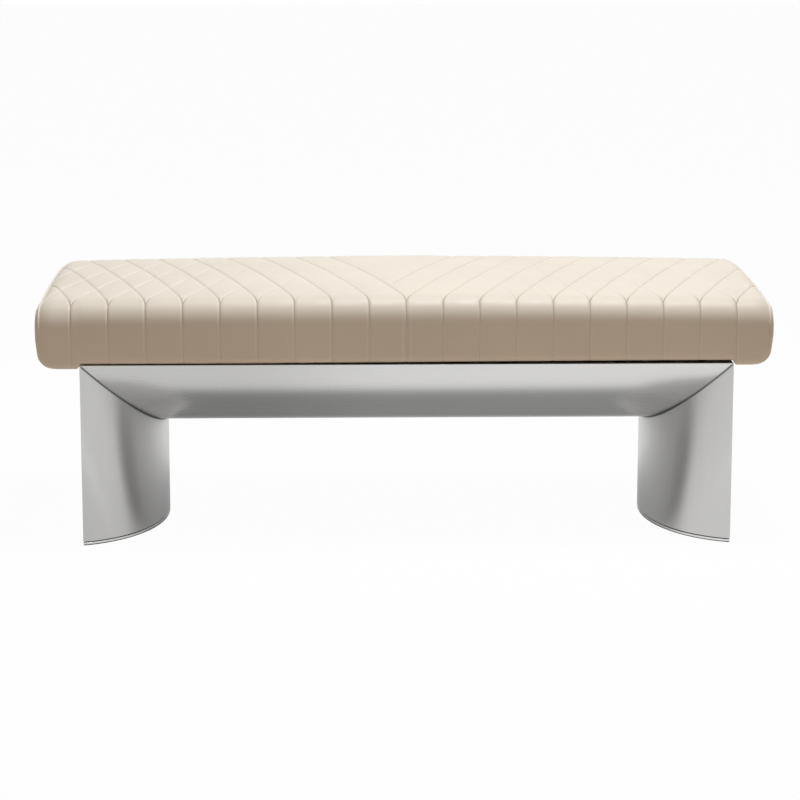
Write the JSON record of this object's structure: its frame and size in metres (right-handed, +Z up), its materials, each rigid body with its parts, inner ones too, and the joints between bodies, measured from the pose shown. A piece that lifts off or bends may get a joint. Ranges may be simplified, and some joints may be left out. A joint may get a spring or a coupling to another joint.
{
  "type": "luggage bench",
  "caption": "Backless bench with a thick quilted leather seat on a mitred D-section steel portal base, for resting luggage or sitting.",
  "frame": {"origin": "on the floor, under the middle of the bench", "axes": "+X along the bench, +Y from front to back, +Z up"},
  "size_m": [1.3, 0.5, 0.454],
  "materials": {
    "seat_leather": "satin",
    "seat_foam": "matte",
    "wadding": "matte",
    "plywood": "matte",
    "black_lining": "matte",
    "black_felt": "matte",
    "base_steel": "satin",
    "plain_steel": "satin",
    "black_steel": "matte",
    "zinc_hardware": "satin",
    "black_rubber": "matte"
  },
  "bodies": {
    "root": {"quilted_cover": "seat_leather", "end_panel_left": "seat_leather", "end_panel_right": "seat_leather", "piping_left": "seat_leather", "piping_right": "seat_leather", "foam_core": "seat_foam", "wadding_wrap": "wadding", "seat_board": "plywood", "dust_cover": "black_lining", "cover_staples": "zinc_hardware", "dust_cover_staples": "zinc_hardware", "seat_tee_nuts": "zinc_hardware", "seat_screws": "zinc_hardware", "seat_washers": "zinc_hardware", "centre_pad": "black_felt", "bracket_screws": "zinc_hardware", "bracket_rivet_nuts": "zinc_hardware", "beam_skin": "base_steel", "beam_top_plate": "base_steel", "beam_rib_left": "plain_steel", "beam_rib_centre": "plain_steel", "beam_rib_right": "plain_steel", "mitre_bolts": "zinc_hardware", "mitre_washers": "zinc_hardware", "mitre_weld_nuts": "zinc_hardware", "floor_plate_screws": "zinc_hardware", "foot_weld_nuts": "zinc_hardware", "seat_bracket_left": "black_steel", "beam_bulkhead_left": "plain_steel", "leg_skin_left": "base_steel", "leg_outer_panel_left": "base_steel", "leg_bulkhead_left": "plain_steel", "leg_ribs_left": "plain_steel", "foot_bulkhead_left": "plain_steel", "foot_gasket_left": "black_rubber", "floor_plate_left": "base_steel", "foot_pad_left": "black_rubber", "seat_bracket_right": "black_steel", "beam_bulkhead_right": "plain_steel", "leg_skin_right": "base_steel", "leg_outer_panel_right": "base_steel", "leg_bulkhead_right": "plain_steel", "leg_ribs_right": "plain_steel", "foot_bulkhead_right": "plain_steel", "foot_gasket_right": "black_rubber", "floor_plate_right": "base_steel", "foot_pad_right": "black_rubber"}
  },
  "joints": []
}
